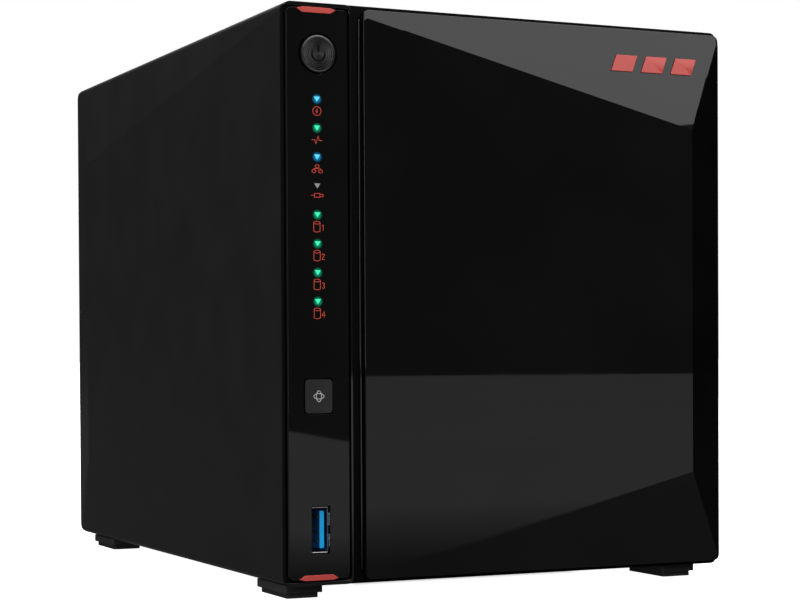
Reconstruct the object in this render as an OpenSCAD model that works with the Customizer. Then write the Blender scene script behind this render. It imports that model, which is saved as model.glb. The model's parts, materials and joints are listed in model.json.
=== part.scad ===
// Four-bay desktop storage enclosure.
// X runs to the right seen from the front, Y runs from the front to the back and Z is up.
// The origin is on the floor under the middle of the bounding box. All sizes are in millimetres.

/* [Case] */
// Width of the case without the raised ridges on its sides
case_w = 149; // [146:0.5:160]
// Depth of the case from the fascia's face to the back rim
case_d = 216; // [212:1:230]
// Height of the case without its feet
case_h = 170; // [168:1:190]
// Wall of the outer cover
cover_wall = 2; // [1.6:0.1:2]
// Radius of the case's long edges
edge_r = 2; // [1:0.5:3]
// Radius of the cover's corners at the back, seen from the side
rear_corner_r = 4; // [2:0.5:5]
// How far the ridge on each side stands out
side_raise = 2.5; // [1:0.5:4]
// Distance of the side ridge from the back rim
side_ridge_back = 20; // [14:1:40]
// Distance of the side ridge's upper end from the case's top
side_ridge_top = 30; // [20:1:50]
// Distance of the side ridge's lower end from the case's bottom
side_ridge_bottom = 28; // [20:1:50]

/* [Front door] */
// Distance of the door's left edge from the case's left side
door_left = 24.8; // [24.8:0.1:26]
// Gap between the door and the case's outline
door_margin = 1.2; // [0.6:0.1:2]
// Thickness of the door at its edge
door_edge_t = 2; // [1.5:0.1:2.5]
// How far the door's ridge stands out from its edge
door_raise = 3.5; // [2:0.5:6]
// Distance of the door's ridge from the case's right side
door_ridge_right = 12.5; // [8:0.5:30]
// Wall of the door's shell
door_wall = 2; // [1.6:0.1:2.5]

/* [Control strip] */
// Width of the glossy fascia
fascia_w = 19.1; // [18.6:0.1:19.4]
// Distance of the middle of the controls from the case's left side
control_x = 9.9; // [9.6:0.1:10.2]
// Diameter of the power button
power_d = 11.3; // [10:0.1:12]
// Height of the power button's middle above the case's bottom
power_z = 155; // [154:0.1:156]
// Height of the top lamp above the case's bottom
lamp_z = 141.8; // [141:0.1:143]
// Spacing of the lamps
lamp_pitch = 8.4; // [8:0.01:8.6]
// Width of the triangular lamps
lamp_w = 1.9; // [1.6:0.1:3]
// Height of the triangular lamps
lamp_h = 1.4; // [1.2:0.1:2.6]
// Height of the backup button's middle above the case's bottom
backup_z = 55.4; // [50:0.1:60]
// Width of the backup button
backup_w = 8.5; // [8:0.1:9.4]
// Height of the backup button
backup_h = 9.8; // [8:0.1:10]
// Height of the USB socket's middle above the case's bottom
usb_z = 16.3; // [15:0.1:20]
// Travel of the push buttons
button_travel = 0.8; // [0.5:0.1:1]

/* [Feet] */
// Height of a foot's upper step
foot_step_h = 2.4; // [2:0.1:3]
// Height of a foot's lower step, which meets the floor
foot_pad_h = 1.6; // [1:0.1:2]
// Width of a foot
foot_w = 12; // [10:0.5:14]
// Length of a foot
foot_len = 23.5; // [20:0.5:28]
// Distance of the left feet from the case's left side
foot_left = 1; // [0.5:0.1:6]
// Distance of the right feet from the case's right side
foot_right = 6.5; // [0.5:0.1:8]
// Distance of the front feet from the front face
foot_front = 5; // [4:0.5:14]
// Distance of the back feet from the back rim
foot_back = 15; // [5:0.5:20]

/* [Drive bays] */
// Number of bays
bays = 4; // [4:1:4]
// Spacing of the bays
bay_pitch = 30; // [30:0.05:30]
// Width of a tray's front plate
tray_w = 29.5; // [29:0.1:29.6]
// Height of a tray's front plate
tray_h = 126; // [120:1:128]
// Thickness of a 3.5 inch disk
disk_t = 26.1; // [20:0.1:26.1]
// Width of a 3.5 inch disk, which stands upright
disk_w = 101.6; // [101.6:0.1:101.6]
// Length of a 3.5 inch disk
disk_len = 147; // [147:0.1:147]
// Travel of a tray's release button
release_travel = 1.5; // [1:0.1:1.5]

/* [Fan] */
// Side of the square fan frame
fan_side = 120; // [120:1:120]
// Depth of the fan frame
fan_depth = 25; // [15:1:25]
// Radius of the fan's air duct
fan_duct_r = 57.5; // [56:0.1:58]
// Radius of the fan's hub
fan_hub_r = 20; // [16:0.5:22]
// Number of fan blades
fan_blades = 7; // [5:1:9]

/* [Hidden] */
$fn = 48;

// Overcut that keeps a cutter's end off the face it leaves.
cut = 1;
// Clearance between fixed parts that are pushed together.
fit_gap = 0.3;
// Clearance around a button in its hole.
button_gap = 0.45;

// Case outline.
foot_h = foot_step_h + foot_pad_h;
left = -case_w / 2;
right = case_w / 2;
bottom = foot_h;
top = foot_h + case_h;
front = -(case_d - door_raise) / 2;
back = front + case_d;
middle_z = (bottom + top) / 2;
inner_x = right - cover_wall;
flange_w = 4.2;

// The front layers, from the face backwards.
fascia_face_t = 1;
bezel_front = front + 2.2;
bezel_t = 1.6;
bezel_back = bezel_front + bezel_t;
cover_front = front + 4.2;
skirt_back = front + 9.5;
skirt_t = 1.2;

// Control strip. The fascia lies in a frame that the bezel raises above, below and right of it.
fascia_left = left + 0.4;
fascia_right = fascia_left + fascia_w;
fascia_inset = 0.7;
fascia_z0 = bottom + 2;
fascia_z1 = top - 2;
rim_front = front + 1;
rim_right = fascia_right + 1.8;
rim_w = 0.75;
rim_h = 1.2;
strip_x = left + control_x;
power_x = strip_x + 0.3;
usb_x = strip_x + 0.6;
power_r = power_d / 2;
power_mid = bottom + power_z;
backup_r = 1;
backup_mid = bottom + backup_z;
usb_mid = bottom + usb_z;
front_board_y = front + 10;
flange_y0 = bezel_back + 0.3;
flange_y1 = bezel_back + 1.2;
board_t = 1.6;

// Accents at the fascia's ends, and the bead between the fascia and the door.
accent_inset = 0.15;
accent_front = front - 0.25;
accent_back = front + 0.5;
bead_left = left + 23.75;
bead_w = 0.55;
bead_raise = 0.8;
bead_inset = 4;

// Edges of the door and of its ridge.
door_x0 = left + door_left;
door_x1 = right - 0.3;
door_z0 = bottom + door_margin;
door_z1 = top - door_margin;
door_back = bezel_front - 0.2;
door_face = door_back - door_edge_t;
ridge_x = right - door_ridge_right;
ridge_z0 = bottom + 30;
ridge_z1 = top - 32;
// The top edge lies a little behind the other edges, so the upper crease starts below the corner.
top_edge_drop = 0.3;
upper_slope = (door_raise + top_edge_drop) / (door_z1 - ridge_z1);
crease_start = top_edge_drop / upper_slope;

// USB-A socket: outside of the shell, wall, tongue, the tongue's offset from the middle, and depth.
usb_shell = [5.5, 13.5];
usb_wall = 0.3;
usb_tongue = [1.4, 11.1];
usb_tongue_offset = 1.1;
usb_depth = 14;
usb_hole_size = [6.1, 14.1];
usb_recess = 1.5;

// Drive bays.
bays_left = left + 25.3;
bays_right = bays_left + bays * bay_pitch;
bay_gap = 0.3;
tray_front = front + 6.5;
tray_plate_t = 3;
tray_back = tray_front + tray_plate_t;
tray_z0 = middle_z - tray_h / 2;
tray_z1 = middle_z + tray_h / 2;
disk_front = front + 14.5;
disk_back = disk_front + disk_len;
disk_z0 = middle_z - disk_w / 2;
disk_z1 = middle_z + disk_w / 2;
rail_w = 28.4;
rail_t = 1.8;
rail_lip_t = (rail_w - disk_t - 0.1) / 2;
rail_lip_h = 6.6;
rail_back = disk_back - 14;

// Tray handle: a lever that hangs from a pin at its upper end.
handle_w = 22.4;
handle_t = 2.7;
handle_front = front + 3.1;
handle_z0 = tray_z0 + 17;
pin_r = 1.2;
pin_gap = 0.05;
pin_y = front + 4.6;
pin_z = tray_z1 - 4.5;
barrel_r = 1.5;
lug_t = 2.2;
lug_r = 2;
release_size = [12, 8];
release_z = tray_z0 + 10;
release_flange = 1;

// Drive cage.
cage_t = 1.2;
cage_front = front + 13;
cage_back = disk_back + 8.5;
cage_left = bays_left - cage_t;
cage_right = bays_right + cage_t;
// Inner faces of the cage's floor and roof.
cage_z0 = disk_z0 - rail_t - 0.6;
cage_z1 = disk_z1 + rail_t + 0.6;
guide_w = 0.9;
guide_h = 4.7;
backplane_y = disk_back + 6;
cage_screw_y = [for (k = [0:2]) cage_front + 28 + 50 * k];
board_screw_places = [
    for (y = [front + 56, cage_back - 6])
        for (z = [cage_z0 - 14, cage_z1 - 5])
            [y, z]
];

// Back end of the case.
panel_t = 1.2;
panel_back = back - 2;
panel_front = panel_back - panel_t;
fan_mid = [12, middle_z + 3];
fan_back = panel_front - 0.2;
fan_front = fan_back - fan_depth;
fan_hole = 52.5;
grille_r = fan_duct_r + 0.5;
fan_shaft_r = 1.5;

// Main board, which stands along the left wall with its parts facing the drive cage.
board_x = left + 4;
board_face = board_x + board_t;
board_front = front + 48;
board_back = panel_front - 3;
board_z0 = bottom + 10;
board_z1 = top - 14;
jack_size = [13.5, 16, 21];
jack_x = board_face + jack_size[0] / 2;
jack_z = bottom + 112;
rear_usb_x = board_face + usb_shell[0] / 2;
rear_usb_z = [bottom + 90, bottom + 70];
inlet_size = [9, 11];
inlet_x = board_face + inlet_size[0] / 2;
inlet_z = bottom + 20;
inlet_r = 3.2;
inlet_pin_r = 1.25;
reset_x = board_face + 3.5;
reset_z = bottom + 48;
lock_x = board_face + 8;
lock_z = bottom + 150;

// Colours.
gloss_black = [0.06, 0.06, 0.065];
satin_black = [0.14, 0.14, 0.14];
dark_grey = [0.24, 0.24, 0.25];
accent_red = [0.86, 0.26, 0.26];
board_green = [0.06, 0.28, 0.14];
steel = [0.72, 0.73, 0.75];
gold = [0.8, 0.65, 0.3];

function bay_x(i) = bays_left + (i + 0.5) * bay_pitch;

// Corner points of a rounded rectangle, six to a corner.
function corner(c, r, a0) = [for (i = [0:5]) [c[0] + r * cos(a0 + 18 * i), c[1] + r * sin(a0 + 18 * i)]];
function round_rect(p0, p1, r) = concat(
    corner([p1[0] - r, p1[1] - r], r, 0),
    corner([p0[0] + r, p1[1] - r], r, 90),
    corner([p0[0] + r, p0[1] + r], r, 180),
    corner([p1[0] - r, p0[1] + r], r, 270)
);

// Extrudes a shape drawn in X and Z from y0 to y1.
module along_y(y0, y1) {
    translate([0, y1, 0]) rotate([90, 0, 0]) linear_extrude(y1 - y0) children();
}

// Extrudes a shape drawn in Y and Z from x0 to x1.
module along_x(x0, x1) {
    translate([x0, 0, 0]) rotate([90, 0, 90]) linear_extrude(x1 - x0) children();
}

// A box given by two opposite corners.
module box(p0, p1) {
    translate(p0) cube(p1 - p0);
}

// A plate with rounded corners, drawn in X and Z.
module plate(p0, p1, r, y0, y1) {
    along_y(y0, y1) polygon(round_rect(p0, p1, r));
}

// A cylinder along Y or X, given by its axis and its two ends.
module rod_y(x, z, r, y0, y1) {
    translate([x, y1, z]) rotate([90, 0, 0]) cylinder(h = y1 - y0, r = r);
}
module rod_x(y, z, r, x0, x1) {
    translate([x0, y, z]) rotate([0, 90, 0]) cylinder(h = x1 - x0, r = r);
}

// One side of the cover: a low roof whose ridge is near the back.
module side_relief() {
    ridge_y = back - side_ridge_back;
    hull() {
        along_x(left, left + 1) polygon([
            [cover_front, bottom + edge_r], [back - rear_corner_r, bottom + edge_r],
            [back, bottom + edge_r + rear_corner_r], [back, top - edge_r - rear_corner_r],
            [back - rear_corner_r, top - edge_r], [cover_front, top - edge_r]
        ]);
        box([left - side_raise, ridge_y, bottom + side_ridge_bottom],
            [left, ridge_y + 0.1, top - side_ridge_top]);
    }
}

// Cuts the corner between the back and the top or bottom to a round, seen from the side.
module rear_corner_cut(z, up) {
    difference() {
        box([left - 5, back - rear_corner_r, up > 0 ? z - rear_corner_r : z - cut],
            [right + 5, back + cut, up > 0 ? z + cut : z + rear_corner_r]);
        rod_x(back - rear_corner_r, z - up * rear_corner_r, rear_corner_r, left - 6, right + 6);
    }
}

module outer_cover() {
    color(satin_black) difference() {
        union() {
            plate([left, bottom], [right, top], edge_r, cover_front, back);
            side_relief();
            mirror([1, 0, 0]) side_relief();
        }
        box([-inner_x, cover_front - cut, bottom + cover_wall], [inner_x, back + cut, top - cover_wall]);
        box([left + flange_w, cover_front - cut, bottom - cut], [right - flange_w, back + cut, middle_z]);
        rear_corner_cut(top, 1);
        rear_corner_cut(bottom, -1);
    }
}

module base_plate() {
    base_flange_h = 8;
    half_w = right - flange_w - fit_gap;
    color(dark_grey) difference() {
        union() {
            box([-half_w, cover_front + 0.2, bottom], [half_w, panel_back, bottom + 1.6]);
            for (side = [-1, 1])
                translate([side * (half_w - 0.6), 0, 0])
                    box([-0.6, skirt_back + 1, bottom], [0.6, panel_front - 1, bottom + base_flange_h]);
        }
        for (i = [0:9])
            box([-30 + 8 * i, -30, bottom - cut], [-26 + 8 * i, 30, bottom + 3]);
    }
}

// Six-sided air holes that fill a circle.
module grille_holes(r) {
    pitch = 9;
    row_h = pitch * sin(60);
    for (row = [-6:6])
        for (col = [-7:7]) {
            x = (col + (row % 2 == 0 ? 0 : 0.5)) * pitch;
            z = row * row_h;
            if (norm([x, z]) < r - pitch / 2)
                translate([x, z]) rotate(30) circle(r = 4.4, $fn = 6);
        }
}

module rear_panel() {
    color(dark_grey) difference() {
        plate([-inner_x + fit_gap, bottom + cover_wall + fit_gap],
              [inner_x - fit_gap, top - cover_wall - fit_gap], 3, panel_front, panel_back);
        rod_y(fan_mid[0], fan_mid[1], grille_r, panel_front - cut, panel_back + cut);
        for (sx = [-1, 1])
            for (sz = [-1, 1])
                rod_y(fan_mid[0] + sx * fan_hole, fan_mid[1] + sz * fan_hole, 2.2,
                      panel_front - cut, panel_back + cut);
        port_cut(jack_x, jack_z, jack_size[0] + 0.4, jack_size[1] + 0.4);
        for (z = rear_usb_z)
            port_cut(rear_usb_x, z, usb_shell[0] + 0.8, usb_shell[1] + 0.8);
        port_cut(inlet_x, inlet_z, inlet_size[0] + 0.4, inlet_size[1] + 0.4);
        rod_y(reset_x, reset_z, 1.4, panel_front - cut, panel_back + cut);
        port_cut(lock_x, lock_z, 3, 7);
        cover_screw_places() rod_y(0, 0, 1.7, panel_front - cut, panel_back + cut);
    }
}

module fan_grille() {
    color(dark_grey) difference() {
        rod_y(fan_mid[0], fan_mid[1], grille_r, panel_front, panel_back);
        translate([fan_mid[0], 0, fan_mid[1]])
            along_y(panel_front - cut, panel_back + cut) grille_holes(fan_duct_r);
    }
}

module port_cut(x, z, w, h) {
    box([x - w / 2, panel_front - cut, z - h / 2], [x + w / 2, panel_back + cut, z + h / 2]);
}

module cover_screw_places() {
    for (p = [[-66, bottom + 8], [66, bottom + 8], [66, top - 8], [-50, top - 8]])
        translate([p[0], 0, p[1]]) children();
}

module cover_screws() {
    color(steel) cover_screw_places() difference() {
        union() {
            rod_y(0, 0, 1.5, panel_front - 6, panel_back);
            rod_y(0, 0, 3, panel_back, panel_back + 1.8);
        }
        along_y(panel_back + 0.8, panel_back + 1.8 + cut) {
            square([3.6, 0.9], center = true);
            square([0.9, 3.6], center = true);
        }
    }
}

// Places of the eight lamps, from the top one down.
function lamp_place(i) = [strip_x - 0.1, bottom + lamp_z - i * lamp_pitch];

// A triangle that points down, with its middle at the origin.
module lamp_outline(gap) {
    w = lamp_w + gap;
    h = lamp_h + gap;
    polygon([[-w / 2, h / 2], [0, -h / 2], [w / 2, h / 2]]);
}

module front_bezel() {
    open_z0 = tray_z0 - 0.5;
    open_z1 = tray_z1 + 0.5;
    skirt_gap = 0.2;
    skirt_x = inner_x - skirt_gap;
    skirt_z0 = bottom + cover_wall + skirt_gap;
    skirt_z1 = top - cover_wall - skirt_gap;
    slot_pitch = 6.2;
    color(gloss_black) difference() {
        union() {
            plate([left, bottom], [right, top], edge_r, bezel_front, bezel_back);
            plate([-skirt_x, skirt_z0], [skirt_x, skirt_z1], edge_r, bezel_back, skirt_back);
            fascia_rim();
            // Narrow bead along the gap between the fascia and the door.
            box([bead_left, bezel_front - bead_raise, bottom + bead_inset],
                [bead_left + bead_w, bezel_front, top - bead_inset]);
        }
        // Hollow behind the plate, left of the bays.
        box([-skirt_x + skirt_t, bezel_back, skirt_z0 + skirt_t],
            [bays_left - bay_gap - skirt_t, skirt_back + cut, skirt_z1 - skirt_t]);
        // Hollows above and below the bays.
        box([bays_left - bay_gap, bezel_back, open_z1 + skirt_t],
            [skirt_x - skirt_t, skirt_back + cut, skirt_z1 - skirt_t]);
        box([bays_left - bay_gap, bezel_back, skirt_z0 + skirt_t],
            [skirt_x - skirt_t, skirt_back + cut, open_z0 - skirt_t]);
        // Bay opening.
        box([bays_left - bay_gap, bezel_front - cut, open_z0],
            [bays_right + bay_gap, skirt_back + cut, open_z1]);
        // Air slots under the bays.
        for (i = [0:17])
            plate([bays_left + 5 + slot_pitch * i, bottom + 6.5],
                  [bays_left + 8 + slot_pitch * i, open_z0 - 3.5], 1.4,
                  bezel_front - cut, bezel_back + cut);
        // Openings behind the control strip.
        plate([strip_x - 4, bottom + lamp_z - 7 * lamp_pitch - 4], [strip_x + 4, bottom + lamp_z + 3.2], 1,
              bezel_front - cut, bezel_back + cut);
        control_holes(bezel_front - cut, bezel_back + cut);
        strike_places() box([-4.1, bezel_front - 0.1, -2.6], [4.1, bezel_front + 0.9, 2.6]);
    }
}

// The raised frame round three sides of the fascia.
module fascia_rim() {
    difference() {
        plate([left, bottom], [rim_right, top], edge_r, rim_front, bezel_front);
        plate([left - edge_r, bottom + rim_h], [rim_right - rim_w, top - rim_h], 1,
              rim_front - cut, bezel_front + cut);
    }
}

// Holes for the two buttons and the USB socket.
module control_holes(y0, y1) {
    rod_y(power_x, power_mid, power_r + button_gap, y0, y1);
    centred_plate(strip_x, backup_mid, backup_w + 2 * button_gap, backup_h + 2 * button_gap,
                  backup_r + button_gap / 2, y0, y1);
    centred_plate(usb_x, usb_mid, usb_hole_size[0], usb_hole_size[1], 0.4, y0, y1);
}

// A plate of the given width and height round a middle.
module centred_plate(x, z, w, h, r, y0, y1) {
    plate([x - w / 2, z - h / 2], [x + w / 2, z + h / 2], r, y0, y1);
}

module control_fascia() {
    color(gloss_black) difference() {
        union() {
            plate([fascia_left, fascia_z0], [fascia_right, fascia_z1], 1.4, front, front + fascia_face_t);
            plate([fascia_left + fascia_inset, fascia_z0 + fascia_inset],
                  [fascia_right - fascia_inset, fascia_z1 - fascia_inset],
                  1, front + fascia_face_t, bezel_front);
        }
        control_holes(front - cut, bezel_front + cut);
        for (i = [0:7])
            translate([lamp_place(i)[0], 0, lamp_place(i)[1]])
                along_y(front - cut, bezel_front + cut) lamp_outline(0.1);
        accent_shape(fascia_z1 - accent_inset, -1, front - cut, accent_back);
        accent_shape(fascia_z0 + accent_inset, 1, front - cut, accent_back);
    }
}

// A flat hexagon with its tips at height z. Its lip reaches over the fascia's end.
module accent_shape(z, way, y0, y1) {
    wide = 12.3;
    narrow = 8.9;
    h = 1.1;
    lip = 0.5;
    translate([strip_x - 0.2, 0, z]) along_y(y0, y1)
        polygon([
            [-wide / 2, 0], [-narrow / 2, -way * lip], [narrow / 2, -way * lip],
            [wide / 2, 0], [narrow / 2, way * h], [-narrow / 2, way * h]
        ]);
}

module accent_top() {
    color(accent_red) accent_shape(fascia_z1 - accent_inset, -1, accent_front, accent_back);
}

module accent_bottom() {
    color(accent_red) accent_shape(fascia_z0 + accent_inset, 1, accent_front, accent_back);
}

// The door's outer form, moved back and shrunk by wall for its hollow.
module door_form(wall) {
    hull() {
        plate([door_x0 + wall, door_z0 + wall], [door_x1 - wall, door_z1 - wall], 1.8,
              door_face + top_edge_drop + wall, door_back + (wall > 0 ? cut : 0));
        plate([door_x0 + wall, door_z0 + wall], [door_x1 - wall, door_z1 - crease_start - wall], 1.8,
              door_face + wall, door_back + (wall > 0 ? cut : 0));
        box([ridge_x - 0.05, door_face - door_raise + wall, ridge_z0],
            [ridge_x + 0.05, door_back, ridge_z1]);
    }
}

// Places of the magnets and their strike plates, near the door's corners.
module strike_places() {
    for (x = [door_x0 + 9, door_x1 - 12])
        for (z = [door_z0 + 9, door_z1 - 7])
            translate([x, 0, z]) children();
}

module front_door() {
    color(gloss_black) difference() {
        union() {
            difference() {
                door_form(0);
                door_form(door_wall);
            }
            intersection() {
                door_form(0);
                strike_places() box([-6, door_face + 0.5, -4], [6, door_back, 4]);
            }
        }
        strike_places() rod_y(0, 0, 3.02, door_back - 1.5, door_back + cut);
    }
}

// Three leaning bars on the door's upper facet.
module door_badge() {
    badge_x = right - 25.1;
    badge_z = bottom + 157.9;
    bar_h = 5.2;
    bar_w = 7.6;
    lean = 2.2;
    t = 0.4;
    slope = atan(upper_slope);
    face_y = door_face + top_edge_drop - (door_z1 - badge_z) * upper_slope;
    color(accent_red) translate([badge_x, face_y, badge_z]) rotate([-slope, 0, 0])
        for (i = [-1:1])
            translate([i * (bar_w + 3.2), 0, 0]) along_y(-t, 0)
                polygon([
                    [-bar_w / 2 - lean / 2, -bar_h / 2], [bar_w / 2 - lean / 2, -bar_h / 2],
                    [bar_w / 2 + lean / 2, bar_h / 2], [-bar_w / 2 + lean / 2, bar_h / 2]
                ]);
}

module door_magnets() {
    color(steel) strike_places() rod_y(0, 0, 3, door_back - 1.5, door_back);
}

module strike_plates() {
    color(steel) strike_places() box([-4, bezel_front - 0.1, -2.5], [4, bezel_front + 0.9, 2.5]);
}

// A foot with two steps; the lower step is smaller and meets the floor.
module foot(x0, y0) {
    step_x = 1;
    step_y = 1.1;
    color(satin_black) {
        translate([x0, y0, 0]) {
            translate([0, 0, foot_pad_h]) linear_extrude(foot_step_h)
                polygon(round_rect([0, 0], [foot_w, foot_len], 0.8));
            linear_extrude(foot_pad_h)
                polygon(round_rect([step_x, step_y], [foot_w - step_x, foot_len - step_y], 0.8));
        }
    }
}

module foot_front_left() {
    foot(left + foot_left, front + foot_front);
}

module foot_front_right() {
    foot(right - foot_right - foot_w, front + foot_front);
}

module foot_back_left() {
    foot(left + foot_left, back - foot_back - foot_len);
}

module foot_back_right() {
    foot(right - foot_right - foot_w, back - foot_back - foot_len);
}

// The stem of a push button, which meets its switch on the front board.
module button_stem(x, z) {
    rod_y(x, z, 1.8, flange_y1, front_board_y - button_travel - 0.3);
}

module power_button() {
    color(gloss_black) {
        rod_y(power_x, power_mid, power_r, front - 0.3, flange_y0);
        // A bar behind the bezel that keeps the button in.
        centred_plate(power_x, power_mid, 8, 2 * power_r + 2.8, 1, flange_y0, flange_y1);
        button_stem(power_x, power_mid);
    }
}

module backup_button() {
    flange = 0.95;
    color(dark_grey) {
        centred_plate(strip_x, backup_mid, backup_w, backup_h, backup_r, front - 0.1, flange_y0);
        centred_plate(strip_x, backup_mid, backup_w + 2 * flange, backup_h + 2 * flange, backup_r,
                      flange_y0, flange_y1);
        button_stem(strip_x, backup_mid);
    }
}

module reset_button() {
    color(satin_black) {
        rod_y(reset_x, reset_z, 1.1, panel_front - 6, panel_back - 0.4);
        rod_y(reset_x, reset_z, 1.8, panel_front - 2.4, panel_front - 1.4);
    }
}

module front_board() {
    color(board_green)
        box([left + 4, front_board_y, bottom + 30], [bays_left - 2.5, front_board_y + board_t, top - 5]);
}

// A lamp's lens and the light pipe behind it.
module lamp(i) {
    translate([lamp_place(i)[0], 0, lamp_place(i)[1]]) {
        along_y(front - 0.05, bezel_back) lamp_outline(0);
        along_y(bezel_back, front_board_y) circle(r = 0.9);
    }
}

module lamps_blue() {
    color("deepskyblue") for (i = [0, 2]) lamp(i);
}

module lamps_green() {
    color("lime") for (i = [1, 4, 5, 6, 7]) lamp(i);
}

module lamp_usb() {
    color("gray") lamp(3);
}

// A USB-A shell that stands upright, with its mouth at y0 and open towards way.
module usb_shell_at(x, z, y0, y1) {
    difference() {
        box([x - usb_shell[0] / 2, y0, z - usb_shell[1] / 2],
            [x + usb_shell[0] / 2, y1, z + usb_shell[1] / 2]);
        box([x - usb_shell[0] / 2 + usb_wall, y0 - cut, z - usb_shell[1] / 2 + usb_wall],
            [x + usb_shell[0] / 2 - usb_wall, y1 - usb_wall, z + usb_shell[1] / 2 - usb_wall]);
    }
}

// The plastic tongue and the block that carries it.
module usb_tongue_at(x, z, y0, y1) {
    block_t = 4;
    tongue_x = x + usb_tongue_offset;
    box([tongue_x - usb_tongue[0] / 2, y0 + 1, z - usb_tongue[1] / 2],
        [tongue_x + usb_tongue[0] / 2, y1 - block_t, z + usb_tongue[1] / 2]);
    box([x - usb_shell[0] / 2 + usb_wall, y1 - block_t, z - usb_shell[1] / 2 + usb_wall],
        [x + usb_shell[0] / 2 - usb_wall, y1 - usb_wall, z + usb_shell[1] / 2 - usb_wall]);
}

module front_usb_shell() {
    color(steel) usb_shell_at(usb_x, usb_mid, front + usb_recess, front + usb_recess + usb_depth);
}

module front_usb_tongue() {
    color("royalblue") usb_tongue_at(usb_x, usb_mid, front + usb_recess, front + usb_recess + usb_depth);
}

// Mirrors children from the front to the back, so that a socket's mouth faces backwards.
module facing_back() {
    mirror([0, 1, 0]) children();
}

module rear_usb_shells() {
    color(steel) facing_back()
        for (z = rear_usb_z)
            usb_shell_at(rear_usb_x, z, -panel_back + 0.2, -panel_back + 0.2 + usb_depth);
}

module rear_usb_tongues() {
    color("royalblue") facing_back()
        for (z = rear_usb_z)
            usb_tongue_at(rear_usb_x, z, -panel_back + 0.2, -panel_back + 0.2 + usb_depth);
}

module network_jack() {
    mouth_depth = 11;
    x0 = jack_x - jack_size[0] / 2;
    color(steel) difference() {
        box([x0, panel_back - jack_size[2], jack_z - jack_size[1] / 2],
            [x0 + jack_size[0], panel_back, jack_z + jack_size[1] / 2]);
        box([x0 + 3, panel_back - mouth_depth, jack_z - 5.9], [x0 + 10, panel_back + cut, jack_z + 5.9]);
        box([x0 + 9, panel_back - mouth_depth, jack_z - 3], [x0 + 11.6, panel_back + cut, jack_z + 3]);
    }
}

module power_inlet() {
    depth = 14;
    color(satin_black) difference() {
        box([inlet_x - inlet_size[0] / 2, panel_back - depth, inlet_z - inlet_size[1] / 2],
            [inlet_x + inlet_size[0] / 2, panel_back, inlet_z + inlet_size[1] / 2]);
        rod_y(inlet_x, inlet_z, inlet_r, panel_back - 10, panel_back + cut);
    }
    color(steel) rod_y(inlet_x, inlet_z, inlet_pin_r, panel_back - 10, panel_back - 1);
}

// One side wall of the cage, with its air windows.
module cage_wall(x, z0) {
    window_w = 20;
    color(steel) difference() {
        box([x, cage_front, z0], [x + cage_t, cage_back, cage_z1 + cage_t]);
        for (i = [0:4])
            box([x - cut, cage_front + 14 + 28 * i, cage_z0 + 14],
                [x + cage_t + cut, cage_front + 14 + 28 * i + window_w, cage_z1 - 14]);
        children();
    }
}

// Holes for the posts and the screws that go into them.
module board_screw_holes() {
    for (p = board_screw_places)
        rod_x(p[0], p[1], 1.25, cage_left - cut, cage_left + cage_t + cut);
}

// The left wall stands on the base plate with a turned-out foot.
module cage_left_wall() {
    foot_z = bottom + 1.6;
    cage_wall(cage_left, foot_z) board_screw_holes();
    color(steel) difference() {
        box([cage_left - 8, cage_front, foot_z], [cage_left + cage_t / 2, cage_back, foot_z + cage_t]);
        for (y = cage_screw_y)
            translate([cage_left - 4, y, bottom - cut]) cylinder(h = 6, r = 1.55);
    }
}

// The right wall stands on the cover's turned-in edge.
module cage_right_wall() {
    cage_wall(cage_right - cage_t, bottom + cover_wall);
}

// The floor or the roof, with the guides that keep the trays apart.
module cage_shelf(z, guide_z) {
    color(steel) {
        box([bays_left, cage_front, z], [bays_right, cage_back, z + cage_t]);
        for (i = [1:bays - 1]) {
            x = bays_left + i * bay_pitch - guide_w / 2;
            box([x, cage_front + 3, guide_z], [x + guide_w, rail_back + 6, guide_z + guide_h]);
        }
    }
}

module cage_floor() {
    cage_shelf(cage_z0 - cage_t, cage_z0);
}

module cage_roof() {
    cage_shelf(cage_z1, cage_z1 - guide_h);
}

// Posts between the cage's left wall and the main board, each with a thread from both ends.
module board_posts() {
    color(steel) difference() {
        for (p = board_screw_places)
            rod_x(p[0], p[1], 2.5, board_face, cage_left);
        for (p = board_screw_places)
            rod_x(p[0], p[1], 1.25, board_face - cut, board_face + 8);
    }
}

// Screws that hold the main board on its posts and the cage on the base plate.
module inner_screws() {
    color(steel) {
        for (p = board_screw_places) {
            rod_x(p[0], p[1], 1.2, board_x, board_face + 6);
            rod_x(p[0], p[1], 2.6, board_x - 1.4, board_x);
        }
        for (y = cage_screw_y)
            translate([cage_left - 4, y, 0]) {
                translate([0, 0, bottom + 1.6]) cylinder(h = cage_t, r = 1.5);
                translate([0, 0, bottom + 1.6 + cage_t]) cylinder(h = 1.6, r = 2.8);
            }
    }
}

module main_board() {
    color(board_green) difference() {
        box([board_x, board_front, board_z0], [board_face, board_back, board_z1]);
        for (p = board_screw_places)
            rod_x(p[0], p[1], 1.3, board_x - cut, board_face + cut);
    }
}

module heat_sink() {
    side = 34;
    y0 = front + 94;
    z0 = middle_z - side / 2;
    color(steel) {
        box([board_face, y0, z0], [board_face + 3, y0 + side, z0 + side]);
        for (i = [0:8])
            box([board_face + 3, y0 + i * 4.1, z0], [board_face + 12, y0 + i * 4.1 + 1.2, z0 + side]);
    }
}

module clock_battery() {
    color(steel) rod_x(front + 154, bottom + 60, 10, board_face, board_face + 3.2);
}

module backplane_board() {
    color(board_green) difference() {
        box([cage_left + cage_t, backplane_y, cage_z0 + 3],
            [cage_right - cage_t, backplane_y + board_t, cage_z1 - 4]);
        for (i = [0:bays - 1])
            for (z = [cage_z0 + 22, cage_z1 - 30])
                centred_plate(bay_x(i), z + 1, 16, 18, 3, backplane_y - cut, backplane_y + board_t + cut);
    }
}

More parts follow.
